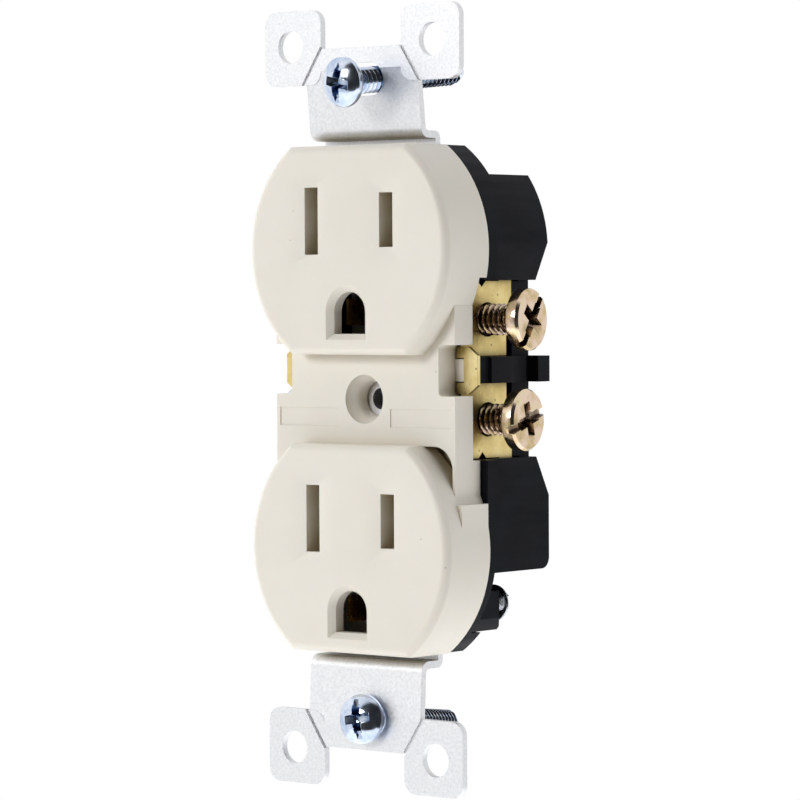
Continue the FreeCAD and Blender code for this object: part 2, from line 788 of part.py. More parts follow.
def cross_recess(reach, width, depth, top):
    """A Phillips cross and a full-width slot, cut down from a head's top."""
    cut = box(-reach, reach, -width / 2, width / 2, top - depth, top + 1)
    cut = cut.fuse(box(-width / 2, width / 2, -reach, reach, top - depth, top + 1))
    return cut


def terminal_screw():
    """Along +Z: shank from below, underside of the head at 0, flat bevelled head."""
    side_t = terminal_head_t - terminal_head_bevel
    head = rod((0, 0, 0), (0, 0, 1), terminal_head_r, side_t)
    bevel = Part.makeCone(
        terminal_head_r, terminal_head_r - terminal_head_bevel, terminal_head_bevel, Vec(0, 0, side_t), Vec(0, 0, 1)
    )
    shank = rod((0, 0, -terminal_shank_len), (0, 0, 1), terminal_shank_r, terminal_shank_len)
    screw = head.fuse([bevel, shank])
    slot = box(-5, 5, -0.5, 0.5, terminal_head_t - 0.8, terminal_head_t + 1)
    return screw.cut([cross_recess(2.2, 1.1, 1.3, terminal_head_t), slot])


def mounting_screw():
    """Along +Z: shank from below, underside of the head at 0, domed head."""
    head = rod((0, 0, 0), (0, 0, 1), mount_head_r, mount_head_t)
    head = head.common(Part.makeSphere(mount_ball_r, Vec(0, 0, mount_head_t - mount_ball_r)))
    shank = rod((0, 0, mount_tip - mount_shank_len), (0, 0, 1), mount_shank_r, mount_shank_len - mount_tip)
    point = Part.makeCone(
        mount_shank_r - 0.6, mount_shank_r, mount_tip, Vec(0, 0, -mount_shank_len), Vec(0, 0, 1)
    )
    screw = head.fuse([shank, point])
    slot = box(-4, 4, -0.45, 0.45, mount_head_t - 0.8, mount_head_t + 1)
    return screw.cut([cross_recess(1.7, 0.9, 1.4, mount_head_t), slot])


def assembly_screw(seat_y):
    """Along +Y from the rear: a domed head on the body and a shank into the cover's boss."""
    length = seat_y - assembly_tip_y
    ball_r = 2.9
    head = rod((0, 0, 0), (0, 0, 1), assembly_head_r, assembly_head_t)
    head = head.common(Part.makeSphere(ball_r, Vec(0, 0, assembly_head_t - ball_r)))
    shank = rod((0, 0, -length), (0, 0, 1), assembly_shank_r, length)
    slot = box(-3, 3, -0.3, 0.3, assembly_head_t - 0.5, assembly_head_t + 1)
    return head.fuse(shank).cut(slot)


def leaning_screw(cross, underside_y, lean):
    """A mounting screw that crosses the yoke's middle plane at a given X and Z."""
    slope_x, slope_z = (math.tan(math.radians(angle)) for angle in lean)
    step = underside_y - strap_t / 2
    start = (cross[0] + step * slope_x, underside_y, cross[1] + step * slope_z)
    return on_axis(mounting_screw(), start, (-slope_x, -1, -slope_z))


def hot_screw(z, gap, lean):
    """A backed-out screw in the hot plate, its head leaning to the rear."""
    turn = math.radians(lean)
    axis = Vec(math.cos(turn), math.sin(turn), 0)
    start = Vec(bus_x + bus_t / 2, terminal_y, z) + axis * (bus_t / 2 + gap)
    return on_axis(terminal_screw(), tuple(start), tuple(axis))


def terminal_screws():
    """The five wire screws by node name."""
    z_up, z_low = bus_mid_z + terminal_rise, bus_mid_z - terminal_rise
    left = (-1, 0, 0)
    neutral_x = -(bus_x + bus_t + neutral_gap)
    ground_start = (ground_tab_x - ground_screw_gap, ground_screw_y, ground_screw_z)
    return {
        "hot_terminal_screw_upper": hot_screw(z_up, terminal_gap, terminal_lean),
        "hot_terminal_screw_lower": hot_screw(z_low, low_terminal_gap, low_terminal_lean),
        "neutral_terminal_screw_upper": on_axis(terminal_screw(), (neutral_x, terminal_y, z_up), left),
        "neutral_terminal_screw_lower": on_axis(terminal_screw(), (neutral_x, terminal_y, z_low), left),
        "ground_terminal_screw": on_axis(terminal_screw(), ground_start, left),
    }


def contact_nodes():
    clip = wire_clip()
    low_clip = mirror_bus(clip)
    return {
        "hot_contact_upper": blade_contact(1, face_z),
        "hot_contact_lower": blade_contact(1, -face_z),
        "neutral_contact_upper": blade_contact(-1, face_z),
        "neutral_contact_lower": blade_contact(-1, -face_z),
        "ground_contact_upper": ground_contact(face_z),
        "ground_contact_lower": ground_contact(-face_z),
        "hot_wire_clip_upper": clip,
        "hot_wire_clip_lower": low_clip,
        "neutral_wire_clip_upper": mirror_x(clip),
        "neutral_wire_clip_lower": mirror_x(low_clip),
    }


def all_nodes():
    bus = bus_strip()
    nodes = {
        "front_cover": front_cover(),
        "back_body": back_body(),
        "mounting_strap": mounting_strap(),
        "hot_bus": bus,
        "neutral_bus": mirror_x(bus),
    }
    nodes.update(contact_nodes())
    rivets = [rivet(z - ground_drop + rivet_rise) for z in (face_z, -face_z)]
    nodes["ground_contact_rivets"] = Part.makeCompound(rivets)
    nodes.update(terminal_screws())
    nodes["mounting_screw_top"] = leaning_screw(top_screw_cross, top_screw_y, top_screw_lean)
    nodes["mounting_screw_bottom"] = leaning_screw(low_screw_cross, low_screw_y, low_screw_lean)
    rear = (0, 1, 0)
    low_seat = (assembly_x, assembly_seat_y, assembly_z)
    nodes["assembly_screw_bottom"] = on_axis(assembly_screw(assembly_seat_y), low_seat, rear)
    top_seat = (0, flange_rear_y, assembly_top_z)
    nodes["assembly_screw_top"] = on_axis(assembly_screw(flange_rear_y), top_seat, rear)
    return nodes


def save(name, shape):
    if len(shape.Solids) == 1:
        shape = shape.removeSplitter()
    solids = len(shape.Solids)
    print(f"{name}: {solids} solid(s), {shape.Volume:.1f} mm3, valid {shape.isValid()}")
    shape.exportStep(f"parts/{name}.step")


os.makedirs("parts", exist_ok=True)
for node_name, node_shape in all_nodes().items():
    save(node_name, node_shape)
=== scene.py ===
import json
import math

import bmesh
import bpy
from mathutils import Matrix, Vector

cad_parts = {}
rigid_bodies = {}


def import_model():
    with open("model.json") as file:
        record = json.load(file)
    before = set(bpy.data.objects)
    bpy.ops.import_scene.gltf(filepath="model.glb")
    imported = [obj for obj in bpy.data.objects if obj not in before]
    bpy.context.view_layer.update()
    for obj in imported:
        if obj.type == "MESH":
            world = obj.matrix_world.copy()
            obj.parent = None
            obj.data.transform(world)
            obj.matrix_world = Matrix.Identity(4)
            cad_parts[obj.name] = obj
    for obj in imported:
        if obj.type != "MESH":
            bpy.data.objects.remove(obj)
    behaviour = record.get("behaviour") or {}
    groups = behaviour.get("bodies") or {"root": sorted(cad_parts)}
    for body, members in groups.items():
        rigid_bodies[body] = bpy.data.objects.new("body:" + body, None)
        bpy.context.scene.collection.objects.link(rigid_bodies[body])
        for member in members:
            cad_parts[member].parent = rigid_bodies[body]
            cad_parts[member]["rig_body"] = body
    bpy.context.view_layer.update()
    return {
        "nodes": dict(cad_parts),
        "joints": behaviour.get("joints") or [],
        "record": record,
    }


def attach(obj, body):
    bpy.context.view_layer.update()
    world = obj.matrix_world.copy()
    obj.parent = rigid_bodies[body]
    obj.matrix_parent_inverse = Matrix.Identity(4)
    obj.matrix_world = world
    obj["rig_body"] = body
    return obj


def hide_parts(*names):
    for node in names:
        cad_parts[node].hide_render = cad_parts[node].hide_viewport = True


MM = 0.001

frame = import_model()
nodes = frame["nodes"]
joints = {j["child"]: j for j in frame["joints"]}


# Camera: the outlet seen from its right, at about 40 degrees, through a long lens.

CAMERA_PLACE = Vector((317.68, -374.72, 14.01)) * MM
CAMERA_FORWARD = Vector((-0.63871, 0.76891, -0.02874)).normalized()
CAMERA_ROLL = math.radians(-0.30)
CAMERA_LENS = 169.64
CLIP_NEAR, CLIP_FAR = 0.01, 50


def make_camera():
    data = bpy.data.cameras.new("camera")
    data.lens = CAMERA_LENS
    data.clip_start = CLIP_NEAR
    data.clip_end = CLIP_FAR
    camera = bpy.data.objects.new("camera", data)
    right = CAMERA_FORWARD.cross(Vector((0, 0, 1))).normalized()
    up = right.cross(CAMERA_FORWARD)
    turned_right = math.cos(CAMERA_ROLL) * right + math.sin(CAMERA_ROLL) * up
    turned_up = -math.sin(CAMERA_ROLL) * right + math.cos(CAMERA_ROLL) * up
    axes = Matrix((turned_right, turned_up, -CAMERA_FORWARD)).transposed()
    camera.matrix_world = Matrix.Translation(CAMERA_PLACE) @ axes.to_4x4()
    bpy.context.scene.collection.objects.link(camera)
    bpy.context.scene.camera = camera


# Materials

# Where a Mix node keeps its colour sockets
MIX_AMOUNT, MIX_A, MIX_B = 0, 6, 7
MIX_COLOUR = 2

# The part of a noise's range that most of its values are in
NOISE_LOW, NOISE_HIGH = 0.3, 0.7


class Shader:
    """A node material under construction: a Principled shader and short calls that add nodes."""

    def __init__(self, name):
        self.material = bpy.data.materials.new(name)
        self.material.use_nodes = True
        self.tree = self.material.node_tree
        self.surface = self.tree.nodes["Principled BSDF"]
        self.place = self.tree.nodes.new("ShaderNodeTexCoord").outputs["Object"]

    def add(self, kind, inputs=(), **settings):
        node = self.tree.nodes.new(kind)
        for key, value in settings.items():
            setattr(node, key, value)
        for key, value in dict(inputs).items():
            self.feed(node.inputs[key], value)
        return node

    def feed(self, socket, value):
        if isinstance(value, bpy.types.NodeSocket):
            self.tree.links.new(value, socket)
        else:
            socket.default_value = value

    def noise(self, scale, detail=4.0, rough=0.55, stretch=None):
        place = self.place
        if stretch:
            place = self.add("ShaderNodeMapping", {"Vector": place, "Scale": stretch}).outputs["Vector"]
        inputs = {"Vector": place, "Scale": scale, "Detail": detail, "Roughness": rough}
        return self.add("ShaderNodeTexNoise", inputs).outputs["Fac"]

    def specks(self, scale):
        """0 at scattered points, rising with the distance from the nearest one."""
        node = self.add("ShaderNodeTexVoronoi", {"Vector": self.place, "Scale": scale}, feature="F1")
        return node.outputs["Distance"]

    def times(self, a, b):
        return self.add("ShaderNodeMath", {0: a, 1: b}, operation="MULTIPLY").outputs[0]

    def ramp(self, value, stops):
        node = self.add("ShaderNodeValToRGB", {"Fac": value})
        ramp = node.color_ramp
        while len(ramp.elements) < len(stops):
            ramp.elements.new(0.5)
        for element, (at, colour) in zip(ramp.elements, stops):
            element.position = at
            element.color = (*colour, 1)
        return node.outputs["Color"]

    def span(self, value, low, high, out_low, out_high):
        names = {"Value": value, "From Min": low, "From Max": high, "To Min": out_low, "To Max": out_high}
        return self.add("ShaderNodeMapRange", names).outputs["Result"]

    def spread(self, noise, low, high):
        """The middle of a noise's range, stretched over low to high."""
        return self.span(noise, NOISE_LOW, NOISE_HIGH, low, high)

    def mix(self, amount, a, b):
        node = self.add("ShaderNodeMix", data_type="RGBA", blend_type="MIX")
        for place, value in ((MIX_AMOUNT, amount), (MIX_A, a), (MIX_B, b)):
            self.feed(node.inputs[place], value)
        return node.outputs[MIX_COLOUR]

    def open_sky(self, reach, low, high):
        """1 on open faces and 0 deep in recesses, gauged over a distance in metres."""
        node = self.add("ShaderNodeAmbientOcclusion", {"Distance": reach}, samples=8)
        return self.span(node.outputs["AO"], low, high, 0, 1)

    def bump(self, height, distance, strength=1.0, under=None):
        node = self.add("ShaderNodeBump", {"Height": height, "Distance": distance, "Strength": strength})
        if under is not None:
            self.feed(node.inputs["Normal"], under)
        return node.outputs["Normal"]

    def set(self, **values):
        names = {
            "color": "Base Color", "rough": "Roughness", "metal": "Metallic", "normal": "Normal",
            "sub": "Subsurface Weight", "radius": "Subsurface Radius", "sub_scale": "Subsurface Scale",
            "specular": "Specular IOR Level",
        }
        for key, value in values.items():
            self.feed(self.surface.inputs[names[key]], value)
        return self.material


def rgb(r, g, b):
    return (r, g, b, 1.0)


def almond_plastic():
    s = Shader("almond_plastic")
    pale, warm = rgb(0.812, 0.776, 0.700), rgb(0.790, 0.752, 0.672)
    # recess_shade_tan is painted shade, not a colour of the plastic
    dirt_brown, recess_shade_tan = rgb(0.14, 0.10, 0.06), rgb(0.50, 0.42, 0.28)
    cloud = s.noise(scale=60, detail=3)
    grain = s.noise(scale=5200, detail=2)
    colour = s.mix(s.span(cloud, 0.35, 0.65, 0, 1), warm, pale)
    dots = s.span(s.specks(scale=520), 0.0, 0.075, 0.75, 0.0)
    rare = s.span(s.noise(scale=160, detail=2), 0.60, 0.62, 0, 1)
    colour = s.mix(s.times(dots, rare), colour, dirt_brown)
    # Painted shade: faces deep in recesses and corners are mixed towards a dark tan
    colour = s.mix(s.open_sky(reach=0.0035, low=0.15, high=0.75), recess_shade_tan, colour)
    rough = s.spread(s.noise(scale=900, detail=3), 0.34, 0.44)
    normal = s.bump(grain, distance=0.000012, strength=0.6)
    return s.set(
        color=colour, rough=rough, normal=normal, sub=0.14, radius=(1.0, 0.55, 0.28), sub_scale=0.0009,
        specular=0.4,
    )


def black_plastic():
    s = Shader("black_plastic")
    darker, paler = rgb(0.0040, 0.0046, 0.0068), rgb(0.0080, 0.0092, 0.0128)
    cloud = s.noise(scale=150, detail=4)
    flow = s.noise(scale=700, detail=5, stretch=(1.0, 0.15, 1.0))
    colour = s.mix(s.spread(cloud, 0, 1), darker, paler)
    rough = s.spread(flow, 0.40, 0.58)
    fine = s.bump(s.noise(scale=4200, detail=3), distance=0.00002, strength=0.8)
    normal = s.bump(flow, distance=0.00003, strength=0.6, under=fine)
    return s.set(color=colour, rough=rough, normal=normal, specular=0.07)


def zinc_sheet():
    s = Shader("zinc_sheet")
    grey, silver, bright = (0.66, 0.67, 0.69), (0.78, 0.785, 0.80), (0.87, 0.875, 0.885)
    spangle = s.noise(scale=2600, detail=6, rough=0.7)
    patches = s.noise(scale=420, detail=4)
    colour = s.ramp(spangle, [(0.32, grey), (0.52, silver), (0.70, bright)])
    colour = s.mix(s.span(patches, 0.35, 0.65, 0, 0.25), colour, rgb(0.70, 0.71, 0.74))
    rough = s.spread(spangle, 0.34, 0.50)
    normal = s.bump(spangle, distance=0.00003, strength=0.7)
    return s.set(color=colour, rough=rough, normal=normal, metal=1.0)


def brass_sheet():
    s = Shader("brass_sheet")
    aged, brass, polished = (0.58, 0.44, 0.16), (0.76, 0.61, 0.27), (0.86, 0.74, 0.40)
    # recess_shade_olive is painted shade, not a colour of the brass
    spot_brown, recess_shade_olive = rgb(0.10, 0.07, 0.03), rgb(0.10, 0.08, 0.03)
    drift = s.noise(scale=220, detail=3)
    colour = s.ramp(drift, [(0.30, aged), (0.55, brass), (0.75, polished)])
    spots = s.span(s.specks(scale=1100), 0.08, 0.22, 0.9, 0)
    rare = s.span(s.noise(scale=420, detail=2), 0.54, 0.60, 0, 1)
    colour = s.mix(s.times(spots, rare), colour, spot_brown)
    # Painted shade: faces in hollows, such as the tab in its notch and the ring round the screw holes, are
    # mixed towards dark olive
    colour = s.mix(s.open_sky(reach=0.0022, low=0.30, high=0.80), recess_shade_olive, colour)
    rough = s.spread(s.noise(scale=700, detail=4), 0.24, 0.38)
    normal = s.bump(s.noise(scale=1800, detail=4), distance=0.00003, strength=0.6)
    return s.set(color=colour, rough=rough, normal=normal, metal=1.0)


def spring_brass():
    s = Shader("spring_brass")
    colour = s.ramp(s.noise(scale=260, detail=4), [(0.3, (0.50, 0.30, 0.07)), (0.7, (0.78, 0.52, 0.17))])
    rough = s.spread(s.noise(scale=800, detail=3), 0.22, 0.38)
    normal = s.bump(s.noise(scale=1500, detail=3), distance=0.00002, strength=0.5)
    return s.set(color=colour, rough=rough, normal=normal, metal=1.0)


def spring_steel():
    s = Shader("spring_steel")
    colour = s.ramp(s.noise(scale=300, detail=4), [(0.3, (0.34, 0.34, 0.35)), (0.7, (0.50, 0.50, 0.51))])
    rough = s.spread(s.noise(scale=800, detail=3), 0.28, 0.42)
    return s.set(color=colour, rough=rough, metal=1.0)


def chromate_screw():
    s = Shader("chromate_screw")
    # recess_shade_brown is painted shade, not a colour of the plating
    recess_shade_brown = rgb(0.05, 0.02, 0.012)
    film = s.noise(scale=420, detail=3, rough=0.5)
    colour = s.ramp(film, [
        (0.30, (0.44, 0.36, 0.20)), (0.44, (0.66, 0.50, 0.28)), (0.56, (0.80, 0.62, 0.50)),
        (0.68, (0.78, 0.66, 0.42)), (0.80, (0.50, 0.44, 0.28)),
    ])
    # Painted shade: the cross recess, the slot and the thread roots are mixed towards dark brown
    colour = s.mix(s.open_sky(reach=0.0014, low=0.50, high=0.95), recess_shade_brown, colour)
    rough = s.spread(s.noise(scale=1400, detail=4), 0.12, 0.24)
    normal = s.bump(s.noise(scale=1200, detail=4), distance=0.00003, strength=0.5)
    return s.set(color=colour, rough=rough, normal=normal, metal=1.0)


def plated(s, colour, smoothest, roughest, metal=1.0):
    """A thin bright plating: even colour, slight waves in its gloss and surface."""
    rough = s.spread(s.noise(scale=1100, detail=4), smoothest, roughest)
    normal = s.bump(s.noise(scale=1000, detail=3), distance=0.00002, strength=0.5)
    return s.set(color=colour, rough=rough, normal=normal, metal=metal)


def bright_zinc():
    s = Shader("bright_zinc")
    blue, steel, pale = (0.42, 0.52, 0.72), (0.66, 0.73, 0.86), (0.84, 0.87, 0.93)
    # recess_shade_blue is painted shade, not a colour of the plating
    recess_shade_blue = rgb(0.05, 0.12, 0.26)
    colour = s.ramp(s.noise(scale=420, detail=3), [(0.3, blue), (0.55, steel), (0.75, pale)])
    # Painted shade: the cross recess and the thread roots are mixed towards dark blue
    colour = s.mix(s.open_sky(reach=0.0012, low=0.35, high=0.85), recess_shade_blue, colour)
    return plated(s, colour, 0.10, 0.20)


def clear_zinc():
    s = Shader("clear_zinc")
    colour = s.ramp(s.noise(scale=320, detail=3), [(0.3, (0.58, 0.60, 0.64)), (0.7, (0.78, 0.79, 0.82))])
    return plated(s, colour, 0.18, 0.32)


def green_zinc():
    s = Shader("green_zinc")
    colour = s.ramp(s.noise(scale=280, detail=3), [(0.3, (0.02, 0.20, 0.06)), (0.7, (0.06, 0.36, 0.13))])
    return plated(s, colour, 0.24, 0.38, metal=0.85)


MATERIALS = {
    "almond_plastic": almond_plastic, "black_plastic": black_plastic, "zinc_strap": zinc_sheet,
    "brass_strip": brass_sheet, "contact_brass": spring_brass, "spring_steel": spring_steel,
    "gold_screw": chromate_screw, "silver_screw": clear_zinc, "green_screw": green_zinc,
    "zinc_screw": bright_zinc,
}
made = {slot: make() for slot, make in MATERIALS.items()}
slot_of = {part["node"]: part["material_slot"] for part in frame["record"]["subparts"]}


def paint(piece, slot):
    piece.data.materials.clear()
    piece.data.materials.append(made[slot])


# CAD nodes that stay: a finer finish, and small rounded edges as on the real mouldings and stampings

WELD_WITHIN = 0.002 * MM
FLAT_WITHIN_DEG = 0.3
EDGE_FROM_DEG = 32
EDGE_SEGMENTS = 3
EDGE_ROUND = {
    "front_cover": 0.16, "back_body": 0.14, "mounting_strap": 0.12, "hot_bus": 0.07, "neutral_bus": 0.07,
}


def round_edges(piece, width, segments, from_deg):
    """Rounds the edges that turn by more than an angle, over a width in millimetres."""
    bevel = piece.modifiers.new("edges", "BEVEL")
    bevel.width = width * MM
    bevel.segments = segments
    bevel.limit_method = "ANGLE"
    bevel.angle_limit = math.radians(from_deg)


def even_normals(piece, keep_sharp):
    normals = piece.modifiers.new("normals", "WEIGHTED_NORMAL")
    normals.keep_sharp = keep_sharp


def soften(node):
    """Welds a CAD node's mesh, clears the seams inside its flat faces and rounds its sharp edges."""
    piece = nodes[node]
    weld = piece.modifiers.new("weld", "WELD")
    weld.merge_threshold = WELD_WITHIN
    flat = piece.modifiers.new("flat", "DECIMATE")
    flat.decimate_type = "DISSOLVE"
    flat.angle_limit = math.radians(FLAT_WITHIN_DEG)
    round_edges(piece, EDGE_ROUND[node], EDGE_SEGMENTS, EDGE_FROM_DEG)
    even_normals(piece, keep_sharp=False)


def finish_nodes():
    for name, piece in nodes.items():
        paint(piece, slot_of[name])
        if name in EDGE_ROUND:
            soften(name)


# Screws, in millimetres along +Z, with the head's underside at 0

HEAD_SIDES = 96
HEAD_EDGE, HEAD_EDGE_SEGMENTS, HEAD_EDGE_FROM_DEG = 0.05, 2, 35
SHARP_FROM_DEG = 30
NECK_SHARE = 0.9

# Terminal heads: how far in the flat underside ends, the rim's two rounds, the eased edge of the crown
# as steps inward and down, and the crown's middle
PAN_FLAT_IN = 0.25
PAN_UNDER_ROUND, PAN_SHOULDER_ROUND = 0.22, 0.1
PAN_CROWN_EASE = ((-0.06, 0.05), (0.06, 0.005), (0.25, 0))
PAN_MIDDLE_R = 0.3

# Domed heads: the rim's lower round, its eased upper edge, and the dome's steps and edge
DOME_UNDER_ROUND = 0.2
DOME_RIM_EASE = ((0, 0.18), (0.04, 0.02))
DOME_STEPS = 16
DOME_EDGE_IN = 0.12

# Threads: the flat root and the sloping flank as shares of half a pitch, and the tip's narrowing
SHANK_SIDES, RINGS_PER_PITCH = 40, 12
SHANK_INTO_HEAD = 0.3
THREAD_ROOT, THREAD_FLANK = 0.12, 0.76
TIP_NARROWING = 0.35

# Recesses: floor and mouth as shares of the cross's reach and width, and how far the cutters stand out
CROSS_FLOOR_REACH, CROSS_MOUTH_REACH = 0.45, 1.22
CROSS_FLOOR_WIDTH, CROSS_MOUTH_WIDTH = 0.55, 1.12
CROSS_ABOVE = 0.35
SLOT_REACH, SLOT_FLOOR_WIDTH, SLOT_ABOVE = 6, 0.92, 0.4
SQUARE = ((-1, -1), (1, -1), (1, 1), (-1, 1))

# The part of a head's height, from its top, that its middle is measured on
HEAD_MEASURED = 0.98


def mesh_piece(name, bm):
    data = bpy.data.meshes.new(name)
    bm.to_mesh(data)
    bm.free()
    piece = bpy.data.objects.new(name, data)
    bpy.context.scene.collection.objects.link(piece)
    return piece


def add_ring(bm, radius, z, sides, wave=None):
    ring = []
    for k in range(sides):
        turn = 2 * math.pi * k / sides
        r = radius if wave is None else wave(turn, z)
        ring.append(bm.verts.new((r * math.cos(turn), r * math.sin(turn), z)))
    return ring


def bridge(bm, low, high):
    for k in range(len(low)):
        n = (k + 1) % len(low)
        bm.faces.new((low[k], low[n], high[n], high[k]))


def head_mesh(profile):
    """A turned head: rings from the underside up, closed at both ends."""
    bm = bmesh.new()
    rings = [add_ring(bm, r * MM, z * MM, HEAD_SIDES) for r, z in profile]
    for low, high in zip(rings, rings[1:]):
        bridge(bm, low, high)
    bm.faces.new(rings[0][::-1])
    bm.faces.new(rings[-1])
    return bm


def thread_mesh(outer, inner, pitch, length, tip):
    """A shank with a real helical thread, from the head's underside down to a tapered end."""
    top = SHANK_INTO_HEAD
    steps = round((length + top) / pitch * RINGS_PER_PITCH)
    bm = bmesh.new()

    def wave(turn, z):
        depth = (z / MM) / pitch - turn / (2 * math.pi)
        tooth = abs((depth % 1.0) * 2 - 1)
        crest = min(1.0, max(0.0, (tooth - THREAD_ROOT) / THREAD_FLANK))
        fade = min(1.0, max(0.0, (length + z / MM) / tip))
        return (inner + (outer - inner) * crest * fade - (1 - fade) * TIP_NARROWING) * MM

    rings = []
    for i in range(steps + 1):
        z = top - (length + top) * i / steps
        rings.append(add_ring(bm, outer, z * MM, SHANK_SIDES, wave))
    for high, low in zip(rings, rings[1:]):
        bridge(bm, low, high)
    bm.faces.new(rings[0])
    bm.faces.new(rings[-1][::-1])
    return bm


def frustum(bm, x0, y0, z0, x1, y1, z1):
    """A four-sided block, half sizes x0 by y0 at height z0 and x1 by y1 at height z1."""
    corners = []
    for x, y, z in ((x0, y0, z0), (x1, y1, z1)):
        corners.append([bm.verts.new((sx * x * MM, sy * y * MM, z * MM)) for sx, sy in SQUARE])
    low, high = corners
    bridge(bm, low, high)
    bm.faces.new(low[::-1])
    bm.faces.new(high)


def recess_cutters(spec):
    """Closed blocks that cut the cross and the slot into a head."""
    cutters = []
    top, depth = spec["top"], spec["cross_depth"]
    wide, reach = spec["cross_w"] / 2, spec["cross_reach"]
    floor, above = top - depth, top + CROSS_ABOVE
    low_reach, high_reach = reach * CROSS_FLOOR_REACH, reach * CROSS_MOUTH_REACH
    low_wide, high_wide = wide * CROSS_FLOOR_WIDTH, wide * CROSS_MOUTH_WIDTH
    blocks = [
        (low_reach, low_wide, floor, high_reach, high_wide, above),
        (low_wide, low_reach, floor, high_wide, high_reach, above),
    ]
    slot = spec["slot_w"] / 2
    if slot:
        slot_floor = top - spec["slot_depth"]
        blocks.append((SLOT_REACH, slot * SLOT_FLOOR_WIDTH, slot_floor, SLOT_REACH, slot, top + SLOT_ABOVE))
    for block in blocks:
        bm = bmesh.new()
        frustum(bm, *block)
        bmesh.ops.recalc_face_normals(bm, faces=bm.faces)
        cutters.append(mesh_piece("cutter", bm))
    return cutters


def settled(piece):
    """Replaces a piece's mesh by what its modifiers make of it."""
    bpy.context.view_layer.update()
    shape = piece.evaluated_get(bpy.context.evaluated_depsgraph_get())
    data = bpy.data.meshes.new_from_object(shape)
    piece.modifiers.clear()
    piece.data = data


def cut_head(head, cutters):
    for cutter in cutters:
        tool = head.modifiers.new("cut", "BOOLEAN")
        tool.operation = "DIFFERENCE"
        tool.solver = "EXACT"
        tool.object = cutter
        settled(head)
        bpy.data.objects.remove(cutter)
    round_edges(head, HEAD_EDGE, HEAD_EDGE_SEGMENTS, HEAD_EDGE_FROM_DEG)
    settled(head)


def arc_profile(radius, corner_z, round_r, steps, start, end):
    """Points round a rim of the given small radius, centred inside the corner, by angles in degrees."""
    points = []
    for i in range(steps + 1):
        turn = math.radians(start + (end - start) * i / steps)
        points.append((radius - round_r + round_r * math.cos(turn), corner_z + round_r * math.sin(turn)))
    return points


def pan_profile(spec):
    """A flat head with a sloping shoulder, as on wire terminal screws."""
    r, top, bevel = spec["head_r"], spec["top"], spec["bevel"]
    points = [(spec["minor_r"] * NECK_SHARE, 0.0), (r - PAN_FLAT_IN, 0.0)]
    points += arc_profile(r, PAN_UNDER_ROUND, PAN_UNDER_ROUND, steps=4, start=-80, end=0)
    shoulder_z = top - bevel - PAN_SHOULDER_ROUND
    points += arc_profile(r, shoulder_z, PAN_SHOULDER_ROUND, steps=3, start=0, end=40)
    points += [(r - bevel - inward, top - down) for inward, down in PAN_CROWN_EASE]
    points.append((PAN_MIDDLE_R, top))
    return points


def dome_profile(spec):
    """A low oval head, as on mounting screws."""
    r, top, rim = spec["head_r"], spec["top"], spec["rim"]
    rise = top - rim
    ball = (r * r + rise * rise) / (2 * rise)
    points = [(spec["minor_r"] * NECK_SHARE, 0.0), (r - DOME_UNDER_ROUND, 0.0)]
    points += arc_profile(r, DOME_UNDER_ROUND, DOME_UNDER_ROUND, steps=4, start=-80, end=0)
    points += [(r - inward, rim - down) for inward, down in DOME_RIM_EASE]
    for i in range(1, DOME_STEPS):
        reach = (r - DOME_EDGE_IN) * (1 - i / DOME_STEPS)
        points.append((reach, top - ball + math.sqrt(ball * ball - reach * reach)))
    return points


def axis_of(node):
    """The way a screw's head faces: its joint's axis, or straight back for a fixed screw."""
    if node in joints:
        return Vector(joints[node]["axis"]).normalized()
    return Vector((0, 1, 0))


def head_place(node, axis, top):
    """Where the middle of a screw head's underside is, from the CAD node's own extent."""
    across = axis.orthogonal().normalized()
    other = axis.cross(across)
    points = [v.co for v in nodes[node].data.vertices]
    high = max(p.dot(axis) for p in points)
    head = [p for p in points if p.dot(axis) > high - top * MM * HEAD_MEASURED]
    middle = Vector((0, 0, 0))
    for way in (across, other):
        reach = [p.dot(way) for p in head]
        middle += way * (min(reach) + max(reach)) / 2
    return middle + axis * (high - top * MM)


def build_screw(node, spec, spin):
    """A detailed screw in the place of a CAD screw: cut head and cut thread in one mesh."""
    profile = pan_profile(spec) if spec["style"] == "pan" else dome_profile(spec)
    head = mesh_piece(node + "_detail", head_mesh(profile))
    cut_head(head, recess_cutters(spec))
    thread = thread_mesh(spec["major_r"], spec["minor_r"], spec["pitch"], spec["length"], spec["tip"])
    shank = mesh_piece("shank", thread)
    bm = bmesh.new()
    bm.from_mesh(head.data)
    bm.from_mesh(shank.data)
    bmesh.ops.recalc_face_normals(bm, faces=bm.faces)
    bm.to_mesh(head.data)
    bm.free()
    bpy.data.objects.remove(shank)
    head.data.shade_smooth()
    head.data.set_sharp_from_angle(angle=math.radians(SHARP_FROM_DEG))
    even_normals(head, keep_sharp=True)
    axis = axis_of(node)
    place = Matrix.Translation(head_place(node, axis, spec["top"]))
    turn = axis.to_track_quat("Z", "Y").to_matrix().to_4x4()
    head.data.transform(place @ turn @ Matrix.Rotation(math.radians(spin), 4, "Z"))
    slot = slot_of[node]
    paint(head, slot)
    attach(head, nodes[node]["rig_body"])
    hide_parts(node)


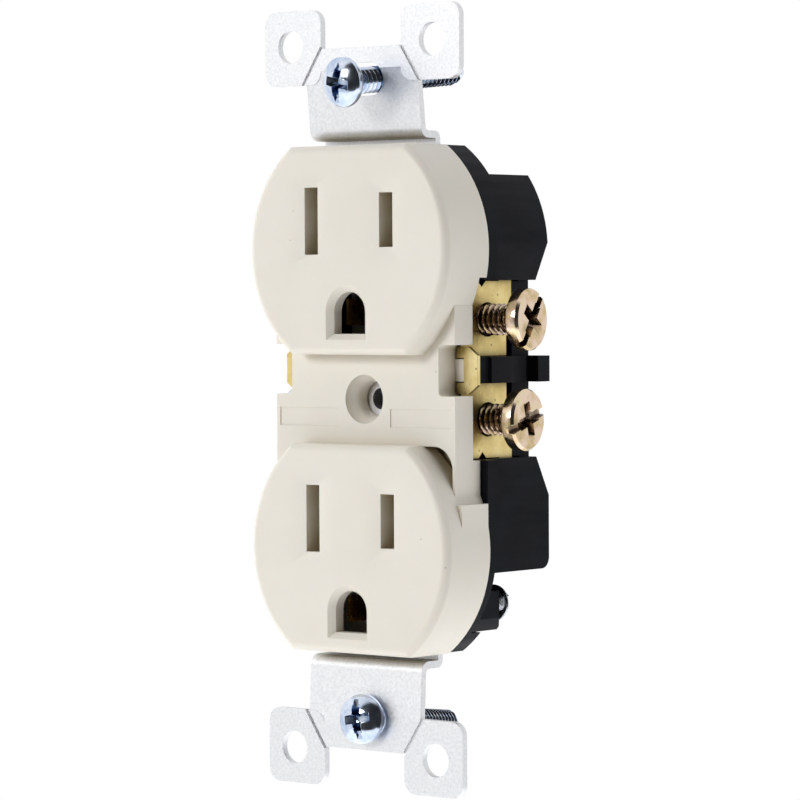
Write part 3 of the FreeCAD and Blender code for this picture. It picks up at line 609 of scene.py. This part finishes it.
# Sizes in millimetres
TERMINAL = {
    "style": "pan", "head_r": 4.03, "top": 1.9, "bevel": 0.35, "major_r": 2.07, "minor_r": 1.62,
    "pitch": 0.794, "length": 7.95, "tip": 1.2, "cross_w": 1.5, "cross_reach": 2.2, "cross_depth": 1.45,
    "slot_w": 1.1, "slot_depth": 0.85,
}
MOUNTING = {
    "style": "dome", "head_r": 3.25, "top": 2.0, "rim": 0.8, "major_r": 1.74, "minor_r": 1.34,
    "pitch": 0.794, "length": 22.1, "tip": 1.4, "cross_w": 1.25, "cross_reach": 2.0, "cross_depth": 1.6,
    "slot_w": 0.85, "slot_depth": 0.75,
}
ASSEMBLY = {
    "style": "dome", "head_r": 2.38, "top": 1.3, "rim": 0.25, "major_r": 1.44, "minor_r": 1.1,
    "pitch": 1.06, "length": 9.2, "tip": 1.4, "cross_w": 0.8, "cross_reach": 1.2, "cross_depth": 1.0,
    "slot_w": 0, "slot_depth": 0,
}
SCREWS = {
    "hot_terminal_screw_upper": (TERMINAL, 54),
    "hot_terminal_screw_lower": (TERMINAL, 17),
    "neutral_terminal_screw_upper": (TERMINAL, 20),
    "neutral_terminal_screw_lower": (TERMINAL, 75),
    "ground_terminal_screw": (TERMINAL, 50),
    "mounting_screw_top": (MOUNTING, 78),
    "mounting_screw_bottom": (MOUNTING, 100),
    "assembly_screw_top": (ASSEMBLY, 10),
    "assembly_screw_bottom": ({**ASSEMBLY, "length": 11.5}, 40),
}


def build_screws():
    for node, (spec, spin) in SCREWS.items():
        build_screw(node, spec, spin)


# Studio, in metres

FLOOR_Z = -0.30
FLOOR_GLOW = 0.56
FLOOR_HALF = 0.5
FLOOR_DULL, FLOOR_WHITE = (0.90, 0.90, 0.90), (0.92, 0.92, 0.92)
BACKDROP = 1.0
ROOM, ROOM_LEFT = 0.88, 1.0
ROOM_FROM_X, ROOM_LEFT_TO_X = 0.1, -0.9
DARK_SIDE = 0.03
DARK_TOWARD = (0.50, -0.85, 0.15)
DARK_FROM_DEG = 58
DARK_FULL_DEG = 46
KEY_PLACE = Vector((-0.25, -1.15, 0.42))
KEY_SIZE = 0.35
KEY_POWER = 6.0


def floor_material():
    """A white sweep that glows a little, like a back-lit table."""
    s = Shader("floor_white")
    s.feed(s.surface.inputs["Emission Color"], rgb(1, 1, 1))
    s.feed(s.surface.inputs["Emission Strength"], FLOOR_GLOW)
    shade = s.ramp(s.noise(scale=3, detail=2), [(NOISE_LOW, FLOOR_DULL), (NOISE_HIGH, FLOOR_WHITE)])
    return s.set(color=shade, rough=0.9, specular=0.0)


def build_stage():
    bm = bmesh.new()
    bmesh.ops.create_grid(bm, x_segments=1, y_segments=1, size=FLOOR_HALF)
    floor = mesh_piece("floor", bm)
    floor.location.z = FLOOR_Z
    floor.data.materials.append(floor_material())


def key_light():
    """A square lamp, turned to the outlet's middle."""
    data = bpy.data.lights.new("key", "AREA")
    data.shape = "RECTANGLE"
    data.size = data.size_y = KEY_SIZE
    data.energy = KEY_POWER
    light = bpy.data.objects.new("key", data)
    light.location = KEY_PLACE
    light.rotation_euler = (-KEY_PLACE).to_track_quat("-Z", "Y").to_euler()
    bpy.context.scene.collection.objects.link(light)


def node_math(tree, operation, *values):
    node = tree.nodes.new("ShaderNodeMath")
    node.operation = operation
    for socket, value in zip(node.inputs, values):
        if isinstance(value, bpy.types.NodeSocket):
            tree.links.new(value, socket)
        else:
            socket.default_value = value
    return node.outputs[0]


def span_node(tree, value, low, high, out_low, out_high):
    node = tree.nodes.new("ShaderNodeMapRange")
    node.interpolation_type = "SMOOTHSTEP"
    tree.links.new(value, node.inputs["Value"])
    for name, number in (("From Min", low), ("From Max", high), ("To Min", out_low), ("To Max", out_high)):
        node.inputs[name].default_value = number
    return node.outputs["Result"]


def build_room():
    """A bright room with one dark side, which the polished heads mirror; the backdrop itself is white."""
    world = bpy.data.worlds.new("studio")
    bpy.context.scene.world = world
    world.use_nodes = True
    tree = world.node_tree
    way = tree.nodes.new("ShaderNodeTexCoord").outputs["Generated"]
    facing = tree.nodes.new("ShaderNodeVectorMath")
    facing.operation = "DOT_PRODUCT"
    tree.links.new(way, facing.inputs[0])
    facing.inputs[1].default_value = Vector(DARK_TOWARD).normalized()
    near = math.cos(math.radians(DARK_FULL_DEG))
    far = math.cos(math.radians(DARK_FROM_DEG))
    light_part = span_node(tree, facing.outputs["Value"], far, near, 1, 0)
    axes = tree.nodes.new("ShaderNodeSeparateXYZ")
    tree.links.new(way, axes.inputs[0])
    room = span_node(tree, axes.outputs["X"], ROOM_LEFT_TO_X, ROOM_FROM_X, ROOM_LEFT, ROOM)
    glow = node_math(tree, "ADD", node_math(tree, "MULTIPLY", room, light_part), DARK_SIDE)
    back = tree.nodes["Background"]
    back.inputs["Color"].default_value = rgb(1, 1, 1)
    tree.links.new(glow, back.inputs["Strength"])
    white = tree.nodes.new("ShaderNodeBackground")
    white.inputs["Color"].default_value = rgb(1, 1, 1)
    white.inputs["Strength"].default_value = BACKDROP
    path = tree.nodes.new("ShaderNodeLightPath")
    pick = tree.nodes.new("ShaderNodeMixShader")
    tree.links.new(path.outputs["Is Camera Ray"], pick.inputs[0])
    tree.links.new(back.outputs[0], pick.inputs[1])
    tree.links.new(white.outputs[0], pick.inputs[2])
    tree.links.new(pick.outputs[0], tree.nodes["World Output"].inputs["Surface"])


def build_lights():
    key_light()
    build_room()
    bpy.context.scene.view_settings.view_transform = "Standard"


make_camera()
finish_nodes()
build_screws()
build_stage()
build_lights()
